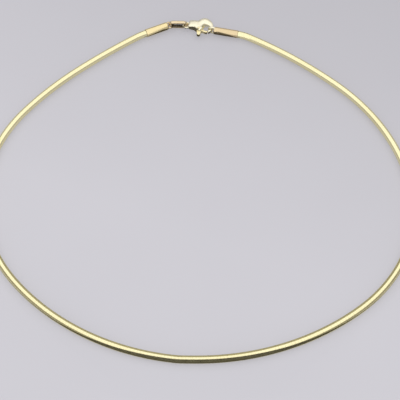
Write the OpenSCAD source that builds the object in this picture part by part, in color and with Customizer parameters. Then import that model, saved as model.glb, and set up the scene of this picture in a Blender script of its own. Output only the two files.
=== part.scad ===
// Round omega necklace: a stiff plated band, two end caps with closed eyes, an oval jump ring
// and a lobster clasp. It lies on z = 0, with the clasp at the back, +Y, and the throat at -Y.

/* [Band] */
// Diameter of the round band
band_d = 2.4; // [2.2:0.1:2.4]
// How far the band's slim end reaches into a cap
tenon_len = 6; // [4:0.5:6.5]

/* [End caps] */
// Length of a cap from its mouth to its end face
cap_len = 8.1; // [7.8:0.1:8.2]
// Outer diameter of a cap
cap_d = 2.8; // [2.7:0.1:2.9]
// Wire diameter of the closed eye on a cap
eye_wire_d = 0.6; // [0.5:0.05:0.6]
// Outer diameter of that eye
eye_d = 3.2; // [3.2:0.1:3.3]

/* [Jump ring] */
// Wire diameter of the oval jump ring
ring_wire_d = 1.1; // [1.0:0.05:1.1]
// Width of the oval jump ring, outside
ring_w = 3.8; // [3.7:0.1:3.9]
// Lean of the jump ring from upright, degrees
ring_lean = 9; // [0:1:15]

/* [Lobster clasp] */
// Thickness of the clasp's body at the lever
clasp_t = 2.4; // [2.2:0.1:2.5]
// Radius of the hook's hole
hole_r = 1.3; // [1.3:0.05:1.35]
// Width of the hook's bow, across its section
bow_w = 0.9; // [0.8:0.05:0.9]
// Thickness of the hook's bow
bow_t = 1.2; // [1.0:0.1:1.2]
// Diameter of the rivet that the lever turns on
rivet_d = 0.6; // [0.5:0.05:0.6]
// Thickness of the lever
lever_t = 1.1; // [0.9:0.1:1.2]

/* [Hidden] */
$fn = 48;
eps = 0.01;

gold = [0.93, 0.80, 0.48];
pale_gold = [0.97, 0.90, 0.68];

// Plan of the band, one stretch in a row, counter-clockwise from the left cap.
// Columns: radius of the stretch, angle that it turns through.
STRETCHES = [
    [24, 9],       // bend beside the left cap
    [215, 6.5],    // left back run
    [115, 11.5],   // left shoulder
    [54, 76],      // left side
    [73, 44],      // left front
    [20, 5.5],     // small bend at the throat
    [150, 2],      // flatter stretch beside it
    [75.5, 39],    // right front
    [51, 59],      // right side
    [69.5, 37.5],  // right shoulder
    [145, 14],     // right back run
    [14, 17]       // bend beside the right cap
];
RADIUS = 0;
TURN = 1;
left_mouth = [-17.55, 61.27];
left_heading = 206;
ring_step = 5.5;
ring_turn = 8;
sides = 8;

band_r = band_d / 2;
tenon_r = band_r - 0.2;
tenon_gap = 0.07;
mouth_gap = 0.1;
corner = 1 / cos(180 / sides);
bore_r = tenon_r * corner + tenon_gap;

// Height of the band's axis: on the surface at the front, level with the caps at the back
back_z = eye_d / 2;
front_y = -65.84;
back_y = 61;

// Eye on a cap: a closed ring let into the end face, upright on the right cap and flat on the left
eye_wire_r = eye_wire_d / 2;
eye_mean_r = eye_d / 2 - eye_wire_r;
eye_out = 0.62;
cap_end_fillet = 0.6;
upright = 0;
flat = 90;

// Jump ring between the left eye and the clasp's tail
ring_wire_r = ring_wire_d / 2;
ring_mean_r = ring_w / 2 - ring_wire_r;
ring_in_eye = 0.88;
ring_cuts = 12;
ring_sides = 16;
ring_z = ring_wire_r + ring_mean_r * cos(ring_lean);

// Clasp, about the centre of its round head, with -x towards the tail and -y the gate's side
clasp_at = [2.22, 64.04];
clasp_turn = -9.5;
head_r = 3;
hole_at = [0.7, -0.5];
tail_eye_x = -6.25;
tail_eye_mean_r = 1.15;
tail_wire_r = 0.32;
tail_end_x = -5.5;
tail_half_w = 1.22;
tail_half_t = 0.85;
bow_cut = 0.3;
tip_angle = -30;
root_angle = -135;
bow_end_angle = 95;

// Lever and rivet
pivot = [-1.8, -1.7];
cheek_r = 1.0;
hub_r = 0.65;
hub_gap = 0.2;
slot_gap = 0.05;
rivet_gap = 0.05;
rivet_fit = 0.02;
rivet_head_r = 0.42;
rivet_head_t = 0.12;
gate_in_r = hole_r + 0.1;
gate_out_r = hole_r + bow_w - 0.05;
gate_reach = 3.1;
gate_gap = 0.12;
tab_w = 1.25;
tab_end = [-1.55, -3.5];

// The heading and point where each stretch starts
function headings(i = 0, h = left_heading) =
    i == len(STRETCHES) ? [h] : concat([h], headings(i + 1, h + STRETCHES[i][TURN]));
HEADINGS = headings();
function turned(p, r, h, a) = [p.x + r * (sin(h + a) - sin(h)), p.y - r * (cos(h + a) - cos(h))];
function starts(i = 0, p = left_mouth) =
    i == len(STRETCHES) ? [p]
    : concat([p], starts(i + 1, turned(p, STRETCHES[i][RADIUS], HEADINGS[i], STRETCHES[i][TURN])));
STARTS = starts();
last = len(STRETCHES);
right_mouth = STARTS[last];
right_heading = HEADINGS[last];

function axis_z(p) = band_r + (back_z - band_r) * (p.y - front_y) / (back_y - front_y);
function lifted(p, h) = [p.x, p.y, axis_z(p), h];

// Places of the rings along the band: [x, y, z, heading]
function cuts(row) = max(1, ceil(row[RADIUS] * row[TURN] * PI / 180 / ring_step),
                         ceil(row[TURN] / ring_turn));
PLACES = [
    for (i = [0 : last - 1]) let (n = cuts(STRETCHES[i]))
        for (k = [0 : n - 1]) let (a = STRETCHES[i][TURN] * k / n)
            lifted(turned(STARTS[i], STRETCHES[i][RADIUS], HEADINGS[i], a), HEADINGS[i] + a),
    lifted(right_mouth, right_heading)
];

// One ring of the tube: a polygon with flats of radius r, square to the heading
function ring_points(place, r, shift = 0) = [
    for (k = [0 : sides - 1]) let (a = 360 * (k + 0.5) / sides, c = r * corner)
        [place.x + shift * cos(place[3]) + c * cos(a) * sin(place[3]),
         place.y + shift * sin(place[3]) - c * cos(a) * cos(place[3]),
         place.z + c * sin(a)]
];
function end_point(p, h, d) = [p.x + d * cos(h), p.y + d * sin(h)];

// End faces of the caps and the two places that the jump ring passes through
left_axis = left_heading - 180;
left_face = end_point(left_mouth, left_axis, cap_len);
left_hold = end_point(left_face, left_axis, ring_in_eye);
tail_at = end_point(clasp_at, clasp_turn, tail_eye_x);
ring_span = norm(tail_at - left_hold);
ring_heading = atan2(tail_at.y - left_hold.y, tail_at.x - left_hold.x);

module omega_chain() {
    first = PLACES[0];
    final = PLACES[len(PLACES) - 1];
    rings = concat(
        [ring_points(first, tenon_r, -tenon_len)],
        [ring_points(first, tenon_r, mouth_gap)],
        [ring_points(first, band_r, mouth_gap)],
        [for (k = [1 : len(PLACES) - 2]) ring_points(PLACES[k], band_r)],
        [ring_points(final, band_r, -mouth_gap)],
        [ring_points(final, tenon_r, -mouth_gap)],
        [ring_points(final, tenon_r, tenon_len)]
    );
    count = len(rings);
    points = [for (ring = rings) each ring];
    color(gold) polyhedron(points, concat(
        [[for (k = [sides - 1 : -1 : 0]) k]],
        [for (i = [0 : count - 2], k = [0 : sides - 1]) let (n = (k + 1) % sides)
            [i * sides + k, i * sides + n, (i + 1) * sides + k]],
        [for (i = [0 : count - 2], k = [0 : sides - 1]) let (n = (k + 1) % sides)
            [i * sides + n, (i + 1) * sides + n, (i + 1) * sides + k]],
        [[for (k = [0 : sides - 1]) (count - 1) * sides + k]]
    ), convexity = 10);
}

// A round bar's half profile with a rounded far end
module cap_profile() {
    r = cap_d / 2;
    f = cap_end_fillet;
    square([r, cap_len - f]);
    square([r - f, cap_len]);
    translate([r - f, cap_len - f]) intersection() {
        circle(f);
        square(f);
    }
}

// A cap along +x, with its mouth at the origin and its eye turned by roll
module end_cap(roll) {
    difference() {
        rotate([0, 90, 0]) rotate_extrude() cap_profile();
        translate([-eps, 0, 0]) rotate([0, 90, 0]) cylinder(h = tenon_len + 0.3, r = bore_r);
    }
    translate([cap_len + eye_out, 0, 0]) rotate([90 - roll, 0, 0])
        rotate_extrude() translate([eye_mean_r, 0]) circle(eye_wire_r);
}

module left_end_cap() {
    color(gold) translate([left_mouth.x, left_mouth.y, back_z])
        rotate([0, 0, left_axis]) end_cap(flat);
}

module right_end_cap() {
    color(gold) translate([right_mouth.x, right_mouth.y, back_z])
        rotate([0, 0, right_heading]) end_cap(upright);
}

// Places along the ring's wire in its own plane: [x, y, heading]
ring_half = (ring_span - 2 * ring_mean_r) / 2;
RING_PLACES = [
    for (side = [1, -1], k = [0 : ring_cuts]) let (a = 180 * k / ring_cuts - 90)
        [side * (ring_half + ring_mean_r * cos(a)), side * ring_mean_r * sin(a),
         a + 90 + (side > 0 ? 0 : 180)]
];
function wire_points(place) = [
    for (k = [0 : ring_sides - 1]) let (a = 360 * (k + 0.5) / ring_sides)
        [place.x + ring_wire_r * cos(a) * sin(place[2]),
         place.y - ring_wire_r * cos(a) * cos(place[2]),
         ring_wire_r * sin(a)]
];

module jump_ring() {
    count = len(RING_PLACES);
    m = ring_sides;
    color(gold) translate([left_hold.x, left_hold.y, ring_z])
        rotate([0, 0, ring_heading]) translate([ring_span / 2, 0, 0])
            rotate([ring_lean - 90, 0, 0])
                polyhedron([for (place = RING_PLACES) each wire_points(place)], concat(
                    [for (i = [0 : count - 1], k = [0 : m - 1]) let (j = (i + 1) % count)
                        [i * m + k, i * m + (k + 1) % m, j * m + k]],
                    [for (i = [0 : count - 1], k = [0 : m - 1]) let (j = (i + 1) % count)
                        [i * m + (k + 1) % m, j * m + (k + 1) % m, j * m + k]]
                ), convexity = 6);
}

module at_clasp() {
    translate([clasp_at.x, clasp_at.y, back_z]) rotate([0, 0, clasp_turn]) children();
}

// A wedge of the plane from point p, from angle a to angle b
module wedge(p, a, b, r = 7) {
    steps = 4;
    translate(p) polygon(concat([[0, 0]],
        [for (k = [0 : steps]) let (t = a + (b - a) * k / steps) [r * cos(t), r * sin(t)]]));
}

// The gap in the hook's rim that the gate closes
module gate_opening() {
    intersection() {
        wedge(hole_at, root_angle, tip_angle);
        translate(pivot) circle(gate_reach + gate_gap);
    }
}

// Outline of the body's plate: round head, tail, and the cheeks beside the lever
module body_outline() {
    difference() {
        union() {
            difference() {
                union() {
                    circle(head_r);
                    translate([tail_end_x, -tail_half_w]) square([-tail_end_x, 2 * tail_half_w]);
                    polygon([[-4.7, -tail_half_w], [-2.5, -2.42], pivot, [-2, 0]]);
                }
                wedge(hole_at, root_angle, 0);
            }
            translate(pivot) circle(cheek_r);
        }
        translate(hole_at) circle(hole_r);
    }
}

// Side view of the plate: full at the lever, thinner at the tail and at the bow
module body_side() {
    half = clasp_t / 2;
    polygon([[tail_end_x, -tail_half_t], [-3.6, -half], [-0.3, -half], [1, -0.65], [2.2, -0.4],
             [head_r, -0.4], [head_r, 0.4], [2.2, 0.4], [1, 0.65], [-0.3, half], [-3.6, half],
             [tail_end_x, tail_half_t]]);
}

// Section of the hook's bow, an eight-sided oval
module bow_section() {
    w = bow_w / 2;
    t = bow_t / 2;
    c = bow_cut;
    translate([hole_r + w, 0])
        polygon([[-w, c - t], [c - w, -t], [w - c, -t], [w, c - t],
                 [w, t - c], [w - c, t], [c - w, t], [-w, t - c]]);
}

// Room for the lever's hub, arm and swing between the two cheeks
module lever_slot() {
    translate(pivot) circle(hub_r + hub_gap);
    wedge(pivot, -150, 62, 2.2);
}

module clasp_body() {
    slot_h = lever_t + 2 * slot_gap;
    color(pale_gold) at_clasp() difference() {
        union() {
            intersection() {
                linear_extrude(height = clasp_t, center = true) body_outline();
                rotate([90, 0, 0]) linear_extrude(height = 10, center = true) body_side();
            }
            difference() {
                translate(hole_at) rotate([0, 0, root_angle + 60])
                    rotate_extrude(angle = bow_end_angle - root_angle - 60) bow_section();
                linear_extrude(height = clasp_t, center = true) gate_opening();
            }
            translate([tail_eye_x, 0, 0])
                rotate_extrude() translate([tail_eye_mean_r, 0]) circle(tail_wire_r);
        }
        linear_extrude(height = slot_h, center = true) lever_slot();
        translate([pivot.x, pivot.y, -clasp_t])
            cylinder(h = 2 * clasp_t, d = rivet_d + 2 * rivet_fit);
    }
}

module clasp_rivet() {
    half = clasp_t / 2 + rivet_fit;
    color(gold) at_clasp() translate([pivot.x, pivot.y, 0]) {
        translate([0, 0, -half]) cylinder(h = 2 * half, d = rivet_d);
        for (side = [0, 1]) mirror([0, 0, side]) translate([0, 0, half - eps])
            cylinder(h = rivet_head_t + eps, r = rivet_head_r);
    }
}

// Outline of the lever in one run: hub, thumb tab, gate arm out along its rim and back inside
function arc(p, r, a, b, n) = [
    for (k = [0 : n]) let (t = a + (b - a) * k / n) [p.x + r * cos(t), p.y + r * sin(t)]
];
from_hole = pivot - hole_at;
pivot_way = atan2(from_hole.y, from_hole.x);
function reach_angle(g) = pivot_way
    + acos((g * g + from_hole * from_hole - gate_reach * gate_reach) / (2 * g * norm(from_hole)));
LEVER_OUTLINE = concat(
    arc(pivot, hub_r, 60, 190, 8),
    arc(tab_end, tab_w / 2, 180, 360, 10),
    [[tab_end.x + tab_w / 2, -2.42]],
    arc(hole_at, gate_out_r, -122, reach_angle(gate_out_r), 8),
    arc(hole_at, gate_in_r, reach_angle(gate_in_r), -146, 10)
);

module clasp_lever() {
    color(gold) at_clasp() difference() {
        linear_extrude(height = lever_t, center = true) polygon(LEVER_OUTLINE);
        translate([pivot.x, pivot.y, -lever_t])
            cylinder(h = 2 * lever_t, d = rivet_d + 2 * rivet_gap);
    }
}

omega_chain();
left_end_cap();
right_end_cap();
jump_ring();
clasp_body();
clasp_rivet();
clasp_lever();
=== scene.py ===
"""Looks of a round omega necklace that lies closed on a pale surface.

The band's crowned plates, the end caps, the oval jump ring and the lobster clasp are modelled in
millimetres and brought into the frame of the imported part, whose solids they stand for.
"""

import logging
import math
from dataclasses import dataclass, field
from enum import Enum

import bmesh
import bpy
from bmesh.types import BMEdge, BMesh, BMFace, BMVert
from mathutils import Matrix, Vector


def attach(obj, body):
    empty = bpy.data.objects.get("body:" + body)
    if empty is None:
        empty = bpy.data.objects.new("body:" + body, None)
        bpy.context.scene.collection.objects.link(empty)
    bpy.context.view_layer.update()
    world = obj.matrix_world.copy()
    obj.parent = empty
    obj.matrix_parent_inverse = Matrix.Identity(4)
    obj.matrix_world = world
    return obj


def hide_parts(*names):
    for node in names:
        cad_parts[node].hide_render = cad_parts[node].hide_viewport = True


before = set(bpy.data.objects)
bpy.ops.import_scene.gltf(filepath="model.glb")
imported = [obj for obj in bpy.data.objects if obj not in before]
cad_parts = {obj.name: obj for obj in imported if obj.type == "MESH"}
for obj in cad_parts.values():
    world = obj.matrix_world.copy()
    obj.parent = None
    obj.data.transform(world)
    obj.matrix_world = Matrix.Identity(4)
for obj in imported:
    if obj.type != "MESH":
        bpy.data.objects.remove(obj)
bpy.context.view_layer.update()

LOG = logging.getLogger("necklace")
METRES_PER_MM = 0.001
# Points nearer to each other than this, in millimetres, are merged
MERGE_MM = 1e-4
# Points nearer to a line than this, in millimetres, count as on it
NEAR_MM = 0.05
# Decimal places, in millimetres, to which a point above another has the same plan
PLAN_DIGITS = 4
# Past this angle between its faces an edge stays sharp
SHARP_ANGLE = math.radians(50)
# A wire ring's steps round its middle and sides of its wire
RING_STEPS = 40
RING_SIDES = 14
# The Mix node's colour sockets, which share their names with its number sockets
MIX_FIRST, MIX_SECOND, MIX_RESULT = 6, 7, 2
# The sRGB curve: its knee, the slope below it, and the offset and power above it
SRGB_KNEE, SRGB_SLOPE, SRGB_OFFSET, SRGB_POWER = 0.04045, 12.92, 0.055, 2.4
X_AXIS = Vector((1, 0, 0))
Y_AXIS = Vector((0, 1, 0))
Z_AXIS = Vector((0, 0, 1))
ORIGIN = Vector((0, 0, 0))

Line = list[tuple[float, float]]
Rows = tuple[tuple[float, float], ...]
Places = tuple[tuple[float, float, float], ...]
Geometry = list[BMVert | BMEdge | BMFace]


class Body(Enum):
    """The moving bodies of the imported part."""

    NECKLACE = "necklace"
    LEVER = "lever"


class Slot(Enum):
    """The record's material slots."""

    BAND = "band_gold"
    FITTINGS = "fittings_gold"


class EyeRoll(Enum):
    """How a cap's eye is turned about the cap's own axis, in degrees."""

    UPRIGHT = 0
    FLAT = 90


def linear_colour(code: str) -> tuple[float, float, float, float]:
    """Turns an sRGB hex colour into a linear one.

    Args:
        code: Six hex digits, with or without a leading hash.

    Returns:
        Linear red, green, blue and an alpha of one.
    """
    digits = code.lstrip("#")
    channels = [int(digits[k : k + 2], 16) / 255 for k in (0, 2, 4)]
    linear = [c / SRGB_SLOPE if c <= SRGB_KNEE else
              ((c + SRGB_OFFSET) / (1 + SRGB_OFFSET)) ** SRGB_POWER for c in channels]
    return (linear[0], linear[1], linear[2], 1.0)


def add_node(
    tree: bpy.types.NodeTree,
    kind: str,
    settings: dict[str, object] | None = None,
    links: dict[str, bpy.types.NodeSocket] | None = None,
) -> bpy.types.Node:
    """Adds one shader node with its settings and links.

    Args:
        tree: The node tree that gets the node.
        kind: The node's Blender type name.
        settings: Values by input socket name, or by property name where no socket has it.
        links: Output sockets by the name of the input that each one feeds.

    Returns:
        The new node.
    """
    node = tree.nodes.new(kind)
    for name, value in (settings or {}).items():
        if name in node.inputs:
            node.inputs[name].default_value = value
        else:
            setattr(node, name, value)
    for name, socket in (links or {}).items():
        tree.links.new(socket, node.inputs[name])
    return node


def new_material(name: str) -> bpy.types.Material:
    """Makes a material whose node tree is empty.

    Args:
        name: The material's name.

    Returns:
        The new material.
    """
    made = bpy.data.materials.new(name)
    made.use_nodes = True
    made.node_tree.nodes.clear()
    return made


def noise_scale(patch: float) -> float:
    """Gives the noise scale whose patches are that many millimetres wide."""
    return 1.0 / (patch * METRES_PER_MM)


@dataclass(frozen=True)
class GoldFinish:
    """A gold surface, as cast or rolled and then buffed on a wheel.

    Lengths are in millimetres. Buffed gold mirrors its room, so the eye reads it by broad light and
    dark stripes; only slow changes of tint and haze are left from handling.
    """

    name: str
    colour: str
    handled_colour: str
    roughness: float
    haze: float
    tint_patch: float = 9.0
    tint_detail: float = 2.0
    haze_patch: float = 1.6
    haze_detail: float = 3.0
    # The part of the noise's range over which the haze grows
    haze_from: float = 0.35
    haze_to: float = 0.7
    # Real buffing marks are finer: this pitch is as coarse as it needs to show
    buffing_pitch: float = 0.22
    buffing_detail: float = 1.0
    buffing_depth: float = 0.004
    buffing_strength: float = 0.25

    def material(self) -> bpy.types.Material:
        """Builds the material.

        Returns:
            A node material on Object coordinates.
        """
        made = new_material(self.name)
        tree = made.node_tree
        place = add_node(tree, "ShaderNodeTexCoord").outputs["Object"]
        tint = add_node(tree, "ShaderNodeTexNoise", {
            "Scale": noise_scale(self.tint_patch), "Detail": self.tint_detail}, {"Vector": place})
        colour = add_node(tree, "ShaderNodeMix", {
            "data_type": "RGBA"}, {"Factor": tint.outputs["Fac"]})
        colour.inputs[MIX_FIRST].default_value = linear_colour(self.colour)
        colour.inputs[MIX_SECOND].default_value = linear_colour(self.handled_colour)
        haze = add_node(tree, "ShaderNodeTexNoise", {
            "Scale": noise_scale(self.haze_patch), "Detail": self.haze_detail}, {"Vector": place})
        roughness = add_node(tree, "ShaderNodeMapRange", {
            "From Min": self.haze_from, "From Max": self.haze_to,
            "To Min": self.roughness, "To Max": self.roughness + self.haze},
            {"Value": haze.outputs["Fac"]})
        buffing = add_node(tree, "ShaderNodeTexNoise", {
            "Scale": noise_scale(self.buffing_pitch), "Detail": self.buffing_detail},
            {"Vector": place})
        bump = add_node(tree, "ShaderNodeBump", {
            "Strength": self.buffing_strength, "Distance": self.buffing_depth * METRES_PER_MM},
            {"Height": buffing.outputs["Fac"]})
        shader = add_node(tree, "ShaderNodeBsdfPrincipled", {"Metallic": 1.0}, {
            "Base Color": colour.outputs[MIX_RESULT], "Roughness": roughness.outputs["Result"],
            "Normal": bump.outputs["Normal"]})
        add_node(tree, "ShaderNodeOutputMaterial", {}, {"Surface": shader.outputs["BSDF"]})
        return made


# Rolled and polished 14-karat yellow gold: pale, and almost a mirror
POLISHED_BAND = GoldFinish("polished 14-karat gold band", "#F5EEC2", "#EFE5B2", 0.16, 0.05)
# Drawn 14-karat tube, buffed after soldering, so a little warmer and softer
BUFFED_TUBE = GoldFinish("buffed 14-karat gold tube", "#F0E2B2", "#E6D29C", 0.2, 0.07, 5.0)
# The right cap's tube gets a darker, warmer colour than the left cap's, and a softer shine
DARKER_TUBE = GoldFinish("darker 14-karat gold tube", "#E4D2AA", "#D8C298", 0.3, 0.08, 5.0)
# Drawn wire of the ring, warmer from the solder's heat
DRAWN_WIRE = GoldFinish("drawn 14-karat gold wire", "#E6D6B4", "#DAC49C", 0.22, 0.07, 4.0)
# Cast 14-karat clasp, tumbled bright
TUMBLED_CAST = GoldFinish("tumbled cast 14-karat gold", "#F6F2DA", "#F1E9C8", 0.3, 0.08, 3.0)
# Stamped lever, tumbled with the clasp
TUMBLED_STAMPING = GoldFinish("tumbled stamped 14-karat gold", "#F6EBC0", "#EEDFAC", 0.26, 0.08, 3.0)


@dataclass(frozen=True)
class CardFinish:
    """Smooth matt card or acrylic sheet, faintly cloudy, that may glow: painted light, as if the sheet
    were lit from behind.

    Lengths are in millimetres. Its colour and glow are painted a little darker towards its far side:
    painted shade.
    """

    name: str
    colour: str
    cloud_colour: str
    glow: float = 0.0
    far_share: float = 1.0
    # The way in which the colour and glow are painted darker, and the places along it between which
    # they are
    fall_way: tuple[float, float, float] = (0.42, 0.91, 0.0)
    fall_from: float = -20.0
    fall_to: float = 110.0
    roughness: float = 0.85
    cloud_width: float = 60.0
    cloud_detail: float = 2.0

    def material(self) -> bpy.types.Material:
        """Builds the material.

        Returns:
            A node material on Object coordinates.
        """
        made = new_material(self.name)
        tree = made.node_tree
        place = add_node(tree, "ShaderNodeTexCoord").outputs["Object"]
        cloud = add_node(tree, "ShaderNodeTexNoise", {
            "Scale": noise_scale(self.cloud_width), "Detail": self.cloud_detail}, {"Vector": place})
        across = add_node(tree, "ShaderNodeVectorMath", {"operation": "DOT_PRODUCT"}, {
            "Vector": place})
        across.inputs[1].default_value = self.fall_way
        fall = add_node(tree, "ShaderNodeMapRange", {
            "From Min": self.fall_from * METRES_PER_MM, "From Max": self.fall_to * METRES_PER_MM,
            "To Min": 1.0, "To Max": self.far_share}, {"Value": across.outputs["Value"]})
        colour = add_node(tree, "ShaderNodeMix", {
            "data_type": "RGBA"}, {"Factor": cloud.outputs["Fac"]})
        colour.inputs[MIX_FIRST].default_value = linear_colour(self.colour)
        colour.inputs[MIX_SECOND].default_value = linear_colour(self.cloud_colour)
        # Painted shade: the colour, and the glow with it, darker towards the far side
        shaded = add_node(tree, "ShaderNodeVectorMath", {"operation": "SCALE"}, {
            "Vector": colour.outputs[MIX_RESULT], "Scale": fall.outputs["Result"]})
        shader = add_node(tree, "ShaderNodeBsdfPrincipled", {
            "Roughness": self.roughness, "Emission Strength": self.glow},
            {"Base Color": shaded.outputs["Vector"], "Emission Color": shaded.outputs["Vector"]})
        add_node(tree, "ShaderNodeOutputMaterial", {}, {"Surface": shader.outputs["BSDF"]})
        return made


# Pale acrylic sheet whose own glow, painted light like a light table's from below, keeps shadows on it
# faint; its far side is painted darker
LIT_SHEET = CardFinish("backlit lilac-grey acrylic", "#88878B", "#858488", 1.5, 0.82)
# Dark card beside the throat: its reflection draws the band's dark front edge
DARK_CARD = CardFinish("matt charcoal card", "#4F4D48", "#484641")
# Grey card on both sides of the front: it keeps the band's bright stripe narrow there
GREY_CARD = CardFinish("matt grey card", "#BEBBAE", "#B8B5A8")


def heading_vector(heading: float) -> Vector:
    """Gives the flat unit vector of a heading in radians."""
    return Vector((math.cos(heading), math.sin(heading), 0))


def turn_about_z(heading: float, at: Vector) -> Matrix:
    """Gives the matrix that turns by a heading in radians and then moves to a point."""
    return Matrix.Translation(at) @ Matrix.Rotation(heading, 4, "Z")


def verts_in(geometry: Geometry) -> list[BMVert]:
    """Gives the vertices in what a bmesh operator made."""
    return [item for item in geometry if isinstance(item, BMVert)]


def edges_in(geometry: Geometry) -> list[BMEdge]:
    """Gives the edges in what a bmesh operator made."""
    return [item for item in geometry if isinstance(item, BMEdge)]


def edges_of(verts: list[BMVert]) -> list[BMEdge]:
    """Gives the edges that the vertices belong to."""
    return list({edge for vert in verts for edge in vert.link_edges})


def add_row(bm: BMesh, points: list[Vector]) -> list[BMEdge]:
    """Adds a row of joined edges.

    Args:
        bm: The mesh under construction.
        points: The places that the row goes through.

    Returns:
        The row's edges.
    """
    verts = [bm.verts.new(point) for point in points]
    return [bm.edges.new(pair) for pair in zip(verts, verts[1:])]


def quarter_round(x: float, r: float, size: float, rising: bool, cuts: int) -> Line:
    """Gives the points that round off a profile's corner.

    Args:
        x: Place of the corner along the axis.
        r: Distance of the corner from the axis.
        size: Radius of the rounding.
        rising: True where the profile climbs to its full width, False where it falls from it.
        cuts: Number of steps in the rounding.

    Returns:
        The points, in the profile's direction.
    """
    inwards = size if rising else -size
    angles = [math.pi / 2 * k / cuts for k in range(cuts + 1)]
    points = [(x + inwards * (1 - math.sin(angle)), r - size * (1 - math.cos(angle)))
              for angle in angles]
    return points[::-1] if rising else points


def revolve(bm: BMesh, points: Line, steps: int) -> list[BMVert]:
    """Turns a half profile about the X axis into a closed round solid.

    Args:
        bm: The mesh under construction.
        points: Pairs of place along the axis and distance from it.
        steps: Number of steps round the axis.

    Returns:
        The vertices of the solid.
    """
    known = set(bm.verts)
    edges = add_row(bm, [Vector((x, 0, r)) for x, r in points])
    verts = list({v for edge in edges for v in edge.verts})
    bmesh.ops.spin(bm, geom=verts + edges, cent=ORIGIN, axis=X_AXIS, angle=2 * math.pi,
                   steps=steps, use_merge=True, use_duplicate=False)
    made = [v for v in bm.verts if v not in known]
    bmesh.ops.remove_doubles(bm, verts=made, dist=MERGE_MM)
    return [v for v in bm.verts if v not in known]


def add_wire_ring(bm: BMesh, mean_r: float, wire_r: float) -> list[BMVert]:
    """Adds a round wire ring that lies flat about the origin.

    Args:
        bm: The mesh under construction.
        mean_r: Radius of the wire's middle line.
        wire_r: Radius of the wire.

    Returns:
        The vertices of the ring.
    """
    known = set(bm.verts)
    upright = Matrix.Translation((mean_r, 0, 0)) @ Matrix.Rotation(math.pi / 2, 4, "X")
    verts = bmesh.ops.create_circle(bm, segments=RING_SIDES, radius=wire_r, matrix=upright)["verts"]
    bmesh.ops.spin(bm, geom=verts + edges_of(verts), cent=ORIGIN, axis=Z_AXIS, angle=2 * math.pi,
                   steps=RING_STEPS, use_merge=True, use_duplicate=False)
    return [v for v in bm.verts if v not in known]


def extrude_row(bm: BMesh, edges: list[BMEdge]) -> tuple[list[BMVert], list[BMEdge]]:
    """Extrudes a row of edges, and leaves the new row where the old one is.

    Args:
        bm: The mesh under construction.
        edges: The row's edges.

    Returns:
        The vertices and the edges of the new row.
    """
    made = bmesh.ops.extrude_edge_only(bm, edges=edges)["geom"]
    verts = verts_in(made)
    fresh = set(verts)
    return verts, [edge for edge in edges_in(made) if fresh.issuperset(edge.verts)]


def add_object(bm: BMesh, name: str) -> bpy.types.Object:
    """Turns a mesh under construction into an object of the scene.

    Args:
        bm: The mesh, which is freed.
        name: Name of the object and of its mesh.

    Returns:
        The new object.
    """
    mesh = bpy.data.meshes.new(name)
    bm.to_mesh(mesh)
    bm.free()
    made = bpy.data.objects.new(name, mesh)
    bpy.context.scene.collection.objects.link(made)
    return made


def place_piece(
    bm: BMesh,
    name: str,
    matrix: Matrix,
    finish: GoldFinish,
    node: str,
    body: Body = Body.NECKLACE,
    sharp_angle: float = SHARP_ANGLE,
) -> bpy.types.Object:
    """Turns a mesh in millimetres into a finished piece that stands for a node of the part.

    Args:
        bm: The mesh, which is freed.
        name: Name of the new piece.
        matrix: Place of the piece's own frame in the part's frame, in millimetres.
        finish: The piece's surface.
        node: The node that it stands for.
        body: The body that it rides on.
        sharp_angle: Angle in radians past which an edge stays sharp.

    Returns:
        The piece, with its place in its mesh.
    """
    bmesh.ops.transform(bm, matrix=Matrix.Scale(METRES_PER_MM, 4) @ matrix, verts=bm.verts[:])
    bmesh.ops.recalc_face_normals(bm, faces=bm.faces[:])
    piece = add_object(bm, name)
    piece.data.shade_smooth()
    piece.data.set_sharp_from_angle(angle=sharp_angle)
    piece.data.materials.append(finish.material())
    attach(piece, body.value)
    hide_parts(node)
    return piece


def place_stage(bm: BMesh, name: str, finish: CardFinish) -> bpy.types.Object:
    """Turns a mesh in millimetres into a card or sheet, which isn't part of the necklace.

    Args:
        bm: The mesh, which is freed.
        name: Name of the new object.
        finish: Its surface.

    Returns:
        The card or sheet.
    """
    bmesh.ops.transform(bm, matrix=Matrix.Scale(METRES_PER_MM, 4), verts=bm.verts[:])
    stage = add_object(bm, name)
    stage.data.materials.append(finish.material())
    return stage


@dataclass(frozen=True)
class Stretch:
    """One stretch of the band's plan: its radius in millimetres and its turn in degrees."""

    radius: float
    turn: float

    @property
    def length(self) -> float:
        """Length of the stretch in millimetres."""
        return self.radius * math.radians(self.turn)


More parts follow.
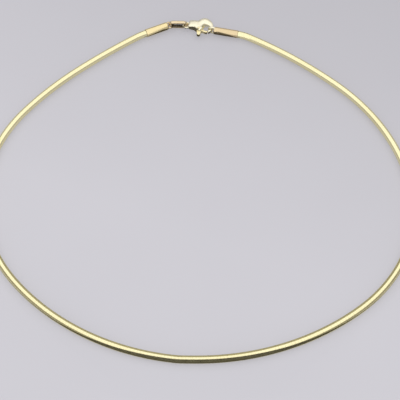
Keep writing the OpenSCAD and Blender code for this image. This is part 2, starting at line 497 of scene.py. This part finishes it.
@dataclass
class Route:
    """The band's middle line, counter-clockwise from the left cap's mouth, in millimetres."""

    start: tuple[float, float] = (-17.55, 61.27)
    start_heading: float = 206
    stretches: tuple[Stretch, ...] = (
        Stretch(24, 9),        # bend beside the left cap
        Stretch(215, 6.5),     # left back run
        Stretch(115, 11.5),    # left shoulder
        Stretch(54, 76),       # left side
        Stretch(73, 44),       # left front
        Stretch(20, 5.5),      # small bend at the throat
        Stretch(150, 2),       # flatter stretch beside it
        Stretch(75.5, 39),     # right front
        Stretch(51, 59),       # right side
        Stretch(69.5, 37.5),   # right shoulder
        Stretch(145, 14),      # right back run
        Stretch(14, 17),       # bend beside the right cap
    )
    # The line climbs from the band's radius at the throat to the caps' height at the back
    band_r: float = 1.2
    back_z: float = 1.6
    front_y: float = -65.84
    back_y: float = 61.0

    @property
    def length(self) -> float:
        """Length of the route in millimetres."""
        return sum(stretch.length for stretch in self.stretches)

    def place_at(self, distance: float) -> tuple[Vector, float]:
        """Finds a place along the route.

        Args:
            distance: Length along the route from its start, in millimetres.

        Returns:
            The point and the heading there, in radians.
        """
        x, y = self.start
        heading = math.radians(self.start_heading)
        left = distance
        for number, stretch in enumerate(self.stretches):
            on_last = number == len(self.stretches) - 1
            run = left if on_last or left < stretch.length else stretch.length
            turned = heading + run / stretch.radius
            x += stretch.radius * (math.sin(turned) - math.sin(heading))
            y -= stretch.radius * (math.cos(turned) - math.cos(heading))
            heading = turned
            left -= run
            if left <= 0:
                break
        rise = (y - self.front_y) / (self.back_y - self.front_y)
        height = self.band_r + (self.back_z - self.band_r) * rise
        return Vector((x, y, height)), heading


@dataclass
class OmegaBand:
    """The band: a row of short crowned plates, snug on a flexible core. Millimetres."""

    route: Route
    radius: float = 1.2
    plate_pitch: float = 1.0
    plate_gap: float = 0.01
    edge_chamfer: float = 0.018
    sides: int = 16
    # The core shows at the bottom of the plates' grooves, and its slim ends go into the caps
    core_r: float = 1.184
    core_step: float = 2.5
    mouth_gap: float = 0.1
    tenon_r: float = 1.0
    tenon_len: float = 1.5
    sharp_angle: float = math.radians(35)

    def build(self) -> bpy.types.Object:
        """Builds the band.

        Returns:
            The band as one piece.
        """
        bm = bmesh.new()
        self._add_plates(bm)
        self._add_core(bm)
        return place_piece(bm, "omega_band", Matrix.Identity(4), POLISHED_BAND, "omega_chain",
                           sharp_angle=self.sharp_angle)

    def _plate_profile(self, pitch: float) -> Line:
        """Gives a plate's half profile along its axis, with its two edges chamfered.

        Args:
            pitch: Distance from plate to plate.

        Returns:
            The profile about the plate's middle.
        """
        half = (pitch - self.plate_gap) / 2
        low = self.radius - self.edge_chamfer
        return [(-half, low), (-half + self.edge_chamfer, self.radius),
                (half - self.edge_chamfer, self.radius), (half, low)]

    def _add_plates(self, bm: BMesh) -> None:
        """Adds every plate, copied from the first one and set square to the route.

        Args:
            bm: The band's mesh.
        """
        run = self.route.length - 2 * self.mouth_gap
        count = round(run / self.plate_pitch)
        pitch = run / count
        first = revolve(bm, self._plate_profile(pitch), self.sides)
        pattern = first + edges_of(first) + list({face for v in first for face in v.link_faces})
        for number in range(1, count):
            verts = verts_in(bmesh.ops.duplicate(bm, geom=pattern)["geom"])
            self._set_plate(bm, verts, self.mouth_gap + (number + 0.5) * pitch)
        self._set_plate(bm, first, self.mouth_gap + 0.5 * pitch)

    def _set_plate(self, bm: BMesh, verts: list[BMVert], distance: float) -> None:
        """Moves a plate from the origin to its place along the route."""
        point, heading = self.route.place_at(distance)
        bmesh.ops.transform(bm, matrix=turn_about_z(heading, point), verts=verts)

    def _add_core(self, bm: BMesh) -> None:
        """Adds the core under the plates, with a slimmer end in each cap.

        Args:
            bm: The band's mesh.
        """
        length = self.route.length
        run = length - 2 * self.mouth_gap
        count = round(run / self.core_step)
        inner = [self.mouth_gap + run * k / count for k in range(count + 1)]
        rows = [(-self.tenon_len, self.tenon_r), (self.mouth_gap, self.tenon_r)]
        rows += [(distance, self.core_r) for distance in inner]
        rows += [(length - self.mouth_gap, self.tenon_r), (length + self.tenon_len, self.tenon_r)]
        ring: list[BMEdge] = []
        for distance, radius in rows:
            ring = self._core_ring(bm, ring, distance, radius)
        bmesh.ops.holes_fill(bm, edges=ring, sides=0)

    def _core_ring(self, bm: BMesh, last: list[BMEdge], distance: float, radius: float) -> list[BMEdge]:
        """Adds one ring of the core and joins it to the ring before.

        Args:
            bm: The band's mesh.
            last: Edges of the ring before, or an empty list at the start.
            distance: Length along the route, beyond its ends too.
            radius: Radius of the ring.

        Returns:
            The edges of the new ring.
        """
        inside = min(max(distance, 0), self.route.length)
        point, heading = self.route.place_at(inside)
        point = point + heading_vector(heading) * (distance - inside)
        square = turn_about_z(heading, point) @ Matrix.Rotation(math.pi / 2, 4, "Y")
        verts = bmesh.ops.create_circle(bm, segments=self.sides, radius=radius, matrix=square,
                                        cap_ends=not last)["verts"]
        edges = edges_of(verts)
        if last:
            bmesh.ops.bridge_loops(bm, edges=last + edges)
        return edges


@dataclass
class EndCap:
    """A drawn tube cap with a soldered wire eye, along X from its mouth. Millimetres."""

    name: str
    node: str
    mouth: Vector
    heading: float
    roll: EyeRoll
    finish: GoldFinish
    eye_finish: GoldFinish
    length: float = 8.1
    radius: float = 1.4
    bore_r: float = 1.152
    bore_seen: float = 1.6
    bore_chamfer: float = 0.05
    lip_round: float = 0.12
    lip_cuts: int = 4
    end_round: float = 0.6
    end_cuts: int = 8
    eye_out: float = 0.62
    eye_mean_r: float = 1.3
    eye_wire_r: float = 0.3
    steps: int = 48

    def build(self) -> list[bpy.types.Object]:
        """Builds the cap and its eye.

        Returns:
            The tube and the eye.
        """
        place = turn_about_z(self.heading, self.mouth)
        bm = bmesh.new()
        revolve(bm, self._profile(), self.steps)
        tube = place_piece(bm, self.name, place, self.finish, self.node)
        bm = bmesh.new()
        eye = add_wire_ring(bm, self.eye_mean_r, self.eye_wire_r)
        upright = Matrix.Rotation(math.pi / 2 - math.radians(self.roll.value), 4, "X")
        at = Matrix.Translation((self.length + self.eye_out, 0, 0))
        bmesh.ops.transform(bm, matrix=at @ upright, verts=eye)
        return [tube, place_piece(bm, f"{self.name}_eye", place, self.eye_finish, self.node)]

    def _profile(self) -> Line:
        """Gives the cap's half profile, from the bottom of its bore round to its closed end.

        Returns:
            The profile, with its rounded lip and end.
        """
        bore = [(self.bore_seen, 0), (self.bore_seen, self.bore_r), (self.bore_chamfer, self.bore_r)]
        lip = quarter_round(0, self.radius, self.lip_round, True, self.lip_cuts)
        end = quarter_round(self.length, self.radius, self.end_round, False, self.end_cuts)
        return bore + lip + end + [(self.length, 0)]


@dataclass
class JumpRing:
    """An oval ring of thick wire, from the left cap's eye to the clasp's tail. Millimetres."""

    left: Vector
    right: Vector
    width: float = 3.8
    wire_r: float = 0.61
    # Degrees from upright, with the top towards the camera
    lean: float = 14
    steps: int = 24
    sides: int = 18

    def build(self) -> bpy.types.Object:
        """Builds the ring from two half turns and two straight runs.

        Returns:
            The ring as one piece.
        """
        mean_r = self.width / 2 - self.wire_r
        span = (self.right - self.left).length
        half = span / 2 - mean_r
        bm = bmesh.new()
        section = Matrix.Translation((half, -mean_r, 0)) @ Matrix.Rotation(math.pi / 2, 4, "Y")
        first = bmesh.ops.create_circle(bm, segments=self.sides, radius=self.wire_r,
                                        matrix=section)["verts"]
        first_edges = edges_of(first)
        last = self._half_turn(bm, first + first_edges, half)
        verts, edges = extrude_row(bm, edges_in(last))
        bmesh.ops.translate(bm, verts=verts, vec=Vector((-2 * half, 0, 0)))
        last = self._half_turn(bm, verts + edges, -half)
        bmesh.ops.bridge_loops(bm, edges=first_edges + edges_in(last))
        run = self.right - self.left
        middle = (self.left + self.right) / 2
        middle.z = self.wire_r + mean_r * math.cos(math.radians(self.lean))
        standing = Matrix.Rotation(math.radians(self.lean) - math.pi / 2, 4, "X")
        matrix = turn_about_z(math.atan2(run.y, run.x), middle) @ standing
        return place_piece(bm, "oval_jump_ring", matrix, DRAWN_WIRE, "jump_ring")

    def _half_turn(self, bm: BMesh, geom: Geometry, centre_x: float) -> Geometry:
        """Spins the wire's section by half a turn.

        Args:
            bm: The ring's mesh.
            geom: The section to spin.
            centre_x: Place of the turn's centre along the ring.

        Returns:
            The last section.
        """
        return bmesh.ops.spin(bm, geom=geom, cent=Vector((centre_x, 0, 0)), axis=Z_AXIS,
                              angle=math.pi, steps=self.steps, use_merge=False,
                              use_duplicate=False)["geom_last"]


@dataclass
class LobsterClasp:
    """The clasp about the centre of its round head, with the tail on -X.

    Millimetres, and angles in degrees that are counted from +X.
    """

    at: Vector = field(default_factory=lambda: Vector((2.22, 64.04, 1.6)))
    heading: float = math.radians(-9.5)
    head_r: float = 3.0
    hole_at: Vector = field(default_factory=lambda: Vector((0.7, -0.5, 0)))
    hole_r: float = 1.3
    segments: int = 24
    rim_cuts: int = 2
    # How much taller than round the head is on its back
    crown_stretch: float = 1.2
    full_half: float = 1.4
    # Half thickness at the rim as a share of that inside it, which crowns the faces
    edge_share: float = 0.78
    # Edges that climb by more than this share of the full half thickness are the sides
    wall_share: float = 0.7
    smoothing: int = 3
    sharp_angle: float = math.radians(60)
    # Angles about the hole between which the rim is open for the lever
    gate: tuple[float, float] = (-133, -57)
    tail_eye_x: float = -6.25
    tail_eye_mean_r: float = 1.15
    tail_wire_r: float = 0.32
    pivot: Vector = field(default_factory=lambda: Vector((-1.8, -1.7, 0)))
    slot_half: float = 0.6
    slot_hub_r: float = 0.85
    slot_reach: float = 2.6
    # Angles about the pivot between which the slot opens for the lever's swing
    slot_fan: tuple[float, float] = (-150, 62)
    slot_steps: int = 12
    # The tail grows from the head's rim up to this angle above and below its middle
    tail_spread: float = 30
    tail_rise: float = 0.25
    # Columns: place along the tail, half width there
    tail_rows: Rows = ((-3.35, 1.45), (-4.3, 1.42), (-5.2, 1.4), (-5.5, 1.3))
    # Columns: place along the clasp, half thickness there as a share of the full one
    side_rows: Rows = (
        (-5.6, 0.66), (-3.6, 0.98), (-0.3, 1.0), (0.8, 0.76), (1.8, 0.46), (3.1, 0.42))
    # Angles about the hole between which the rim's end becomes the cheek
    cheek_ends: tuple[float, float] = (-150, -120)
    # Where the rim ends at the lever, from the hole outwards
    cheek_edge: Rows = ((-0.22, -1.42), (-0.70, -1.85), (-1.05, -2.35), (-1.65, -2.72))
    # An edge that crosses the rim points away from the hole by more than this, where one is straight
    across_share: float = 0.75
    # Angles between which the rim is filled out towards the tail, and by how much
    corner: tuple[float, float] = (-155, -138)
    corner_fill: float = 1.12
    rivet_r: float = 0.3
    rivet_head_r: float = 0.42
    # The heads are sunk into the faces, which slope there
    rivet_half: float = 1.08
    rivet_head_t: float = 0.38
    # Columns: depth below the head's top, radius there
    rivet_dome: Rows = ((0.04, 0.37), (0.01, 0.231), (0.0, 0.0))
    rivet_steps: int = 24
    # The lever's triangles are merged and its flats made whole before its rims are rounded
    lever_merge: float = 0.002
    lever_flat: float = math.radians(2)
    lever_rim: float = math.radians(60)
    lever_level: float = 0.01
    bevel: float = 0.14
    bevel_segments: int = 3

    @property
    def matrix(self) -> Matrix:
        """Place of the clasp's own frame in the part's frame."""
        return turn_about_z(self.heading, self.at)

    @property
    def tail_eye(self) -> Vector:
        """Centre of the tail's eye in the part's frame."""
        return self.matrix @ Vector((self.tail_eye_x, 0, 0))

    def build(self) -> list[bpy.types.Object]:
        """Builds the clasp's body, rivet and lever.

        Returns:
            The three pieces.
        """
        return [self._body(), self._rivet(), self._lever()]

    def _body(self) -> bpy.types.Object:
        """Builds the cast body: head with its hook, tail, tail eye, and the lever's slot.

        Returns:
            The body as one piece.
        """
        bm = bmesh.new()
        self._add_head(bm)
        self._add_tail(bm)
        self._shape_cheek(bm)
        self._thicken(bm)
        cast = self._round_and_cut(bm)
        bm = bmesh.new()
        bm.from_mesh(cast)
        bpy.data.meshes.remove(cast)
        eye = add_wire_ring(bm, self.tail_eye_mean_r, self.tail_wire_r)
        bmesh.ops.translate(bm, verts=eye, vec=Vector((self.tail_eye_x, 0, 0)))
        return place_piece(bm, "clasp_casting", self.matrix, TUMBLED_CAST, "clasp_body",
                           sharp_angle=self.sharp_angle)

    def _add_head(self, bm: BMesh) -> None:
        """Adds the flat head: faces between its outline and the hook's hole, less the gate.

        Args:
            bm: The clasp's flat mesh.
        """
        outer = bmesh.ops.create_circle(bm, segments=self.segments, radius=self.head_r)["verts"]
        inner = bmesh.ops.create_circle(bm, segments=self.segments, radius=self.hole_r,
                                        matrix=Matrix.Translation(self.hole_at))["verts"]
        for vert in outer:
            if vert.co.y > 0:
                vert.co.y *= self.crown_stretch
        bmesh.ops.bridge_loops(bm, edges=edges_of(outer + inner))
        gate_from, gate_to = self.gate
        gate = [face for face in bm.faces
                if gate_from < self._angle_from_hole(face.calc_center_median()) < gate_to]
        bmesh.ops.delete(bm, geom=gate, context="FACES")
        rim = set(outer)
        across = [edge for edge in bm.edges if len(rim.intersection(edge.verts)) == 1]
        bmesh.ops.subdivide_edges(bm, edges=across, cuts=self.rim_cuts, use_grid_fill=True)

    def _add_tail(self, bm: BMesh) -> None:
        """Extrudes the tail from the head's left rim, row by row.

        Args:
            bm: The clasp's flat mesh.
        """
        width = self.head_r * math.sin(math.radians(self.tail_spread))
        root_half = width * self.crown_stretch + NEAR_MM
        edges = [edge for edge in bm.edges if edge.is_boundary and all(
            v.co.length > self.head_r - NEAR_MM and v.co.x < 0 and abs(v.co.y) < root_half
            for v in edge.verts)]
        rise = self.tail_rise
        for x, half_width in self.tail_rows:
            verts, edges = extrude_row(bm, edges)
            bmesh.ops.scale(bm, verts=verts, vec=Vector((0, half_width / width, 1)))
            bmesh.ops.translate(bm, verts=verts, vec=Vector((x, rise, 0)))
            width, rise = half_width, 0.0

    def _shape_cheek(self, bm: BMesh) -> None:
        """Draws the rim's end at the lever to its cheek, and fills out the corner to the tail.

        Args:
            bm: The clasp's flat mesh.
        """
        low, high = self.cheek_ends
        ends = [v for v in bm.verts if v.is_boundary and low < self._angle_from_hole(v.co) < high
                and any(self._crosses_rim(edge) for edge in v.link_edges)]
        ends.sort(key=lambda v: (v.co - self.hole_at).length)
        for vert, (x, y) in zip(ends, self.cheek_edge):
            vert.co = Vector((x, y, 0))
        low, high = self.corner
        for vert in bm.verts:
            angle = math.degrees(math.atan2(vert.co.y, vert.co.x))
            if vert.co.length > self.head_r - NEAR_MM and low < angle < high and vert not in ends:
                vert.co *= self.corner_fill

    def _angle_from_hole(self, point: Vector) -> float:
        """Gives the angle of a point about the hook's hole, in degrees."""
        away = point - self.hole_at
        return math.degrees(math.atan2(away.y, away.x))

    def _crosses_rim(self, edge: BMEdge) -> bool:
        """Tells whether a border edge runs across the rim, as those at the gate do.

        Args:
            edge: An edge of the clasp's flat mesh.

        Returns:
            True for a border edge that points away from the hole.
        """
        if not edge.is_boundary:
            return False
        run = edge.verts[1].co - edge.verts[0].co
        away = (edge.verts[0].co + edge.verts[1].co) / 2 - self.hole_at
        return abs(run.normalized().dot(away.normalized())) > self.across_share

    def _half_thickness(self, x: float) -> float:
        """Gives half the casting's thickness at a place along the clasp.

        Args:
            x: The place, from the head's centre.

        Returns:
            The half thickness, before it is crowned.
        """
        rows = self.side_rows
        if x <= rows[0][0]:
            return rows[0][1] * self.full_half
        for (x0, a), (x1, b) in zip(rows, rows[1:]):
            if x <= x1:
                return (a + (b - a) * (x - x0) / (x1 - x0)) * self.full_half
        return rows[-1][1] * self.full_half

    def _thicken(self, bm: BMesh) -> None:
        """Gives the flat casting its thickness, crowned on both faces and round at its sides.

        Args:
            bm: The clasp's flat mesh.
        """
        rim = {self._plan_place(v) for v in bm.verts if v.is_boundary}
        low = bm.verts[:]
        made = bmesh.ops.extrude_face_region(bm, geom=bm.faces[:], use_keep_orig=True)["geom"]
        high = verts_in(made)
        for side, verts in ((1, high), (-1, low)):
            for vert in verts:
                share = self.edge_share if self._plan_place(vert) in rim else 1.0
                vert.co.z = side * self._half_thickness(vert.co.x) * share
        walls = [edge for edge in bm.edges
                 if abs(edge.verts[0].co.z - edge.verts[1].co.z) > self.full_half * self.wall_share]
        bmesh.ops.subdivide_edges(bm, edges=walls, cuts=1, use_grid_fill=True)
        bmesh.ops.recalc_face_normals(bm, faces=bm.faces[:])

    @staticmethod
    def _plan_place(vert: BMVert) -> tuple[float, float]:
        """Gives a vertex's place in the plan, which it shares with the one above or below it."""
        return round(vert.co.x, PLAN_DIGITS), round(vert.co.y, PLAN_DIGITS)

    def _round_and_cut(self, bm: BMesh) -> bpy.types.Mesh:
        """Rounds the casting and cuts the lever's slot into it.

        Args:
            bm: The clasp's mesh, which is freed.

        Returns:
            The finished casting's mesh.
        """
        casting = add_object(bm, "casting_shape")
        rounding = casting.modifiers.new("rounding", "SUBSURF")
        rounding.levels = self.smoothing
        rounding.render_levels = self.smoothing
        cutter = self._slot_cutter()
        cut = casting.modifiers.new("lever_slot", "BOOLEAN")
        cut.operation = "DIFFERENCE"
        cut.solver = "EXACT"
        cut.object = cutter
        bpy.context.view_layer.update()
        ready = casting.evaluated_get(bpy.context.evaluated_depsgraph_get())
        finished = bpy.data.meshes.new_from_object(ready)
        for helper in (casting, cutter):
            shape = helper.data
            bpy.data.objects.remove(helper)
            bpy.data.meshes.remove(shape)
        return finished

    def _slot_cutter(self) -> bpy.types.Object:
        """Builds the solid that is cut out for the lever: a fan, and a round part about its hub.

        Returns:
            The cutter, in the clasp's own frame.
        """
        fan_from, fan_to = self.slot_fan
        shares = [k / self.slot_steps for k in range(self.slot_steps + 1)]
        outline = [(fan_from + (fan_to - fan_from) * share, self.slot_reach) for share in shares]
        outline += [(fan_to + (fan_from + 360 - fan_to) * share, self.slot_hub_r) for share in shares]
        bm = bmesh.new()
        corners = [self.pivot + heading_vector(math.radians(angle)) * reach - Z_AXIS * self.slot_half
                   for angle, reach in outline]
        face = bm.faces.new([bm.verts.new(corner) for corner in corners])
        made = bmesh.ops.extrude_face_region(bm, geom=[face], use_keep_orig=True)["geom"]
        bmesh.ops.translate(bm, verts=verts_in(made), vec=Vector((0, 0, 2 * self.slot_half)))
        bmesh.ops.recalc_face_normals(bm, faces=bm.faces[:])
        return add_object(bm, "slot_cutter")

    def _rivet(self) -> bpy.types.Object:
        """Builds the rivet with its two low domed heads.

        Returns:
            The rivet as one piece.
        """
        top = self.rivet_half + self.rivet_head_t
        head = [(self.rivet_half, self.rivet_r), (self.rivet_half, self.rivet_head_r)]
        head += [(top - depth, radius) for depth, radius in self.rivet_dome]
        bm = bmesh.new()
        revolve(bm, [(-x, r) for x, r in reversed(head)] + head, self.rivet_steps)
        upright = Matrix.Translation(self.pivot) @ Matrix.Rotation(math.pi / 2, 4, "Y")
        return place_piece(bm, "lever_rivet", self.matrix @ upright, TUMBLED_STAMPING, "clasp_rivet")

    def _lever(self) -> bpy.types.Object:
        """Builds the lever from the part's own outline, with its sharp rims rounded off.

        Returns:
            The lever as one piece.
        """
        bm = bmesh.new()
        bm.from_mesh(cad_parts["clasp_lever"].data)
        bmesh.ops.scale(bm, verts=bm.verts[:], vec=Vector((1, 1, 1)) / METRES_PER_MM)
        bmesh.ops.remove_doubles(bm, verts=bm.verts[:], dist=self.lever_merge)
        bmesh.ops.dissolve_limit(bm, angle_limit=self.lever_flat, verts=bm.verts[:],
                                 edges=bm.edges[:])
        rims = [edge for edge in bm.edges if edge.calc_face_angle(0.0) > self.lever_rim
                and abs(edge.verts[0].co.z - edge.verts[1].co.z) < self.lever_level]
        bmesh.ops.bevel(bm, geom=rims, offset=self.bevel, offset_type="OFFSET",
                        segments=self.bevel_segments, profile=0.5, affect="EDGES", material=-1,
                        clamp_overlap=False)
        return place_piece(bm, "gate_lever", Matrix.Identity(4), TUMBLED_STAMPING, "clasp_lever",
                           Body.LEVER)


@dataclass(frozen=True)
class CardStation:
    """A place on a card's foot, the way that it leans out, and its fullness from 0 to 1."""

    foot: Vector
    outward: Vector
    fullness: float


@dataclass(frozen=True)
class ReflectionCard:
    """A low card on the sheet beside the gold, which only reflections show. Millimetres."""

    name: str
    # Columns: place outwards from the foot, height there; three rows or more
    profile: Rows
    finish: CardFinish = DARK_CARD
    lift: float = 0.05

    def build(self, stations: list[CardStation]) -> None:
        """Builds the card.

        Args:
            stations: The places that its foot goes through.
        """
        bm = bmesh.new()
        edges: list[BMEdge] = []
        for station in stations:
            foot = station.foot + Vector((0, 0, self.lift))
            wide, tall = station.fullness, station.fullness**2
            corners = [foot + station.outward * out * wide + Z_AXIS * up * tall
                       for out, up in self.profile]
            edges = self._add_station(bm, edges, corners)
        card = place_stage(bm, self.name, self.finish)
        card.visible_camera = False
        card.visible_diffuse = False
        card.visible_shadow = False

    @staticmethod
    def _add_station(bm: BMesh, last: list[BMEdge], corners: list[Vector]) -> list[BMEdge]:
        """Adds one station of the card and joins it to the station before.

        Args:
            bm: The card's mesh.
            last: Edges of the station before, or an empty list at the start.
            corners: The station's corners.

        Returns:
            The station's edges.
        """
        if not last:
            return add_row(bm, corners)
        _, edges = extrude_row(bm, last)
        chain = [next(v for v in edges[0].verts if v not in edges[1].verts)]
        for edge in edges:
            chain.append(edge.other_vert(chain[-1]))
        for vert, corner in zip(chain, corners):
            vert.co = corner
        return edges


@dataclass(frozen=True)
class Softbox:
    """A rectangular soft light that faces a point. Millimetres."""

    name: str
    at: tuple[float, float, float]
    aim: tuple[float, float, float]
    wide: float
    deep: float
    # How bright its face is, where white paper in daylight is about one
    radiance: float

    def build(self) -> None:
        """Hangs the light."""
        lamp = bpy.data.lights.new(self.name, "AREA")
        lamp.shape = "RECTANGLE"
        lamp.size = self.wide * METRES_PER_MM
        lamp.size_y = self.deep * METRES_PER_MM
        lamp.energy = self.radiance * math.pi * lamp.size * lamp.size_y
        light = bpy.data.objects.new(self.name, lamp)
        light.location = Vector(self.at) * METRES_PER_MM
        light.rotation_euler = (Vector(self.aim) - Vector(self.at)).to_track_quat("-Z", "Y").to_euler()
        bpy.context.scene.collection.objects.link(light)


@dataclass
class Studio:
    """The lit sheet, the lights, the cards beside the gold, and the camera.

    Millimetres and degrees.
    """

    route: Route
    target: Vector = field(default_factory=lambda: Vector((0.63, -7.78, 0)))
    distance: float = 464.8
    elevation: float = 53
    lens: float = 135
    sensor: float = 36
    clip_start: float = 10
    sheet_size: float = 2400
    room_colour: str = "#F2F0F4"
    room_light: float = 0.55
    lights: tuple[Softbox, ...] = (
        Softbox("overhead_softbox", (-60, -50, 620), (-60, -50, 0), 1700, 1900, 0.72),
        Softbox("front_window", (-200, -1300, 400), (-200, 0, 400), 2600, 780, 0.9))
    throat_flag: ReflectionCard = ReflectionCard("throat_flag", ((0, 0), (12, 0), (12, 30)))
    inner_card: ReflectionCard = ReflectionCard("inner_card", ((3, 0), (3, 4), (3, 8)), GREY_CARD)
    outer_card: ReflectionCard = ReflectionCard("outer_card", ((13, 0), (13, 7), (13, 14)), GREY_CARD)
    clasp_flag: ReflectionCard = ReflectionCard("clasp_flag", ((0, 0), (2.5, 0), (2.5, 3.4)))
    # Dark card between the ring's wires, seen only in reflections: it puts painted shade on the ring's
    # lower wire
    ring_hood: ReflectionCard = ReflectionCard(
        "ring_hood", ((0, 0), (1.2, 0), (1.2, 1.75), (-3.2, 1.95), (-3.2, 0.3)))
    card_step: float = 3.0
    # How many band radii a card's foot is from the middle line, and how many nearer at its fullest
    foot_far: float = 2.0
    foot_draw: float = 0.9
    # Columns: length along the band, fullness there of the dark card in front of the throat
    throat_line: Rows = (
        (96, 0.0), (112, 0.04), (125, 0.09), (140, 0.17), (150, 0.28), (158, 0.48), (166, 0.75),
        (176, 0.92), (187, 1.0), (198, 0.95), (206, 0.8), (214, 0.52), (222, 0.32), (235, 0.15),
        (248, 0.08), (262, 0.03), (276, 0.0))
    # The same for the grey cards on both sides of the front
    front_line: Rows = ((88, 0.0), (100, 0.6), (112, 1.0), (262, 1.0), (274, 0.6), (286, 0.0))
    # Columns: place in front of the caps, the ring and the clasp, fullness there
    clasp_line: Places = (
        (-17.5, 59.6, 0.2), (-10.7, 63.2, 0.7), (-9.3, 63.8, 0.5), (-4.2, 63.9, 0.8),
        (-1.3, 63.5, 0.9), (-0.4, 61.6, 0.8), (0.4, 60.3, 0.6), (2.0, 60.9, 0.7), (4.4, 62.0, 0.75),
        (6.0, 61.9, 1.0), (9.0, 61.0, 0.8), (13.5, 59.3, 0.2))
    ring_line: Places = (
        (-9.0, 64.2, 1.0), (-7.6, 64.2, 1.0), (-6.2, 64.1, 1.0), (-4.6, 64.0, 1.0))

    def build(self) -> None:
        """Builds the sheet, the lights, the cards, the room and the camera."""
        bpy.context.scene.view_settings.view_transform = "Standard"
        bm = bmesh.new()
        bmesh.ops.create_grid(bm, x_segments=2, y_segments=2, size=self.sheet_size / 2)
        place_stage(bm, "light_sheet", LIT_SHEET)
        for softbox in self.lights:
            softbox.build()
        self.throat_flag.build(self._band_stations(self.throat_line, 1))
        self.inner_card.build(self._band_stations(self.front_line, -1))
        self.outer_card.build(self._band_stations(self.front_line, 1))
        self.clasp_flag.build(self._stations(self.clasp_line))
        self.ring_hood.build(self._stations(self.ring_line))
        self._surround()
        self._place_camera()

    def _band_stations(self, line: Rows, side: int) -> list[CardStation]:
        """Gives the stations of a card that runs along the band.

        Args:
            line: Pairs of length along the band and the card's fullness there.
            side: 1 for a card outside the loop, -1 for one inside it.

        Returns:
            The stations, counter-clockwise.
        """
        stations = []
        for (start, first), (end, last) in zip(line, line[1:]):
            count = max(round((end - start) / self.card_step), 1)
            for number in range(count):
                part = number / count
                point, heading = self.route.place_at(start + (end - start) * part)
                outward = -heading_vector(heading + math.pi / 2) * side
                fullness = first + (last - first) * part
                away = self.route.band_r * (self.foot_far - self.foot_draw * fullness)
                foot = Vector((point.x, point.y, 0)) + outward * away
                stations.append(CardStation(foot, outward, fullness))
        return stations

    @staticmethod
    def _stations(line: Places) -> list[CardStation]:
        """Gives the stations of a card whose line is listed, facing the camera's side."""
        return [CardStation(Vector((x, y, 0)), -Y_AXIS, fullness) for x, y, fullness in line]

    def _surround(self) -> None:
        """Sets the softly lit room around the sheet."""
        world = bpy.data.worlds.new("pale_room")
        world.use_nodes = True
        world.node_tree.nodes.clear()
        room = add_node(world.node_tree, "ShaderNodeBackground", {
            "Color": linear_colour(self.room_colour), "Strength": self.room_light})
        add_node(world.node_tree, "ShaderNodeOutputWorld", {}, {"Surface": room.outputs["Background"]})
        bpy.context.scene.world = world

    def _place_camera(self) -> None:
        """Places the camera at the photograph's viewing angle."""
        optics = bpy.data.cameras.new("camera")
        optics.lens = self.lens
        optics.sensor_width = self.sensor
        optics.clip_start = self.clip_start * METRES_PER_MM
        camera = bpy.data.objects.new("camera", optics)
        tilt = math.radians(self.elevation)
        away = Vector((0, -math.cos(tilt), math.sin(tilt))) * self.distance
        camera.location = (self.target + away) * METRES_PER_MM
        camera.rotation_euler = (math.pi / 2 - tilt, 0, 0)
        bpy.context.scene.collection.objects.link(camera)
        bpy.context.scene.camera = camera


@dataclass
class Necklace:
    """The whole closed necklace, from its band to its clasp. Millimetres."""

    route: Route
    clasp: LobsterClasp = field(default_factory=LobsterClasp)
    # How far beyond the left cap's end the ring goes through its eye
    ring_in_eye: float = 0.88

    def build(self) -> list[bpy.types.Object]:
        """Builds every piece in order.

        Returns:
            The pieces.
        """
        left_cap, right_cap = self._caps()
        pieces = [OmegaBand(self.route).build()] + left_cap.build() + right_cap.build()
        hold = left_cap.mouth + heading_vector(left_cap.heading) * (left_cap.length + self.ring_in_eye)
        pieces.append(JumpRing(hold, self.clasp.tail_eye).build())
        return pieces + self.clasp.build()

    def _caps(self) -> tuple[EndCap, EndCap]:
        """Sizes the two caps, each as the photograph shows it.

        Returns:
            The left cap and the right cap, with their mouths at the band's ends.
        """
        start, start_heading = self.route.place_at(0)
        end, end_heading = self.route.place_at(self.route.length)
        level = self.route.back_z
        left = EndCap(
            "left_cap", "left_end_cap", Vector((start.x, start.y, level)), start_heading - math.pi,
            EyeRoll.FLAT, BUFFED_TUBE, DRAWN_WIRE, radius=1.36, eye_wire_r=0.26)
        right = EndCap(
            "right_cap", "right_end_cap", Vector((end.x, end.y, level)), end_heading,
            EyeRoll.UPRIGHT, DARKER_TUBE, TUMBLED_CAST, length=8.35, radius=1.28, lip_round=0.08,
            end_round=0.45, eye_out=0.46, eye_mean_r=1.22, eye_wire_r=0.34)
        return left, right


def main() -> None:
    """Builds the studio and the necklace, and reports each piece."""
    logging.basicConfig(level=logging.INFO, format="%(name)s: %(message)s")
    route = Route()
    Studio(route).build()
    pieces = Necklace(route).build()
    for piece in pieces:
        LOG.info("%s: %d faces", piece.name, len(piece.data.polygons))
    LOG.info("%d pieces", len(pieces))


if __name__ == "__main__":
    main()
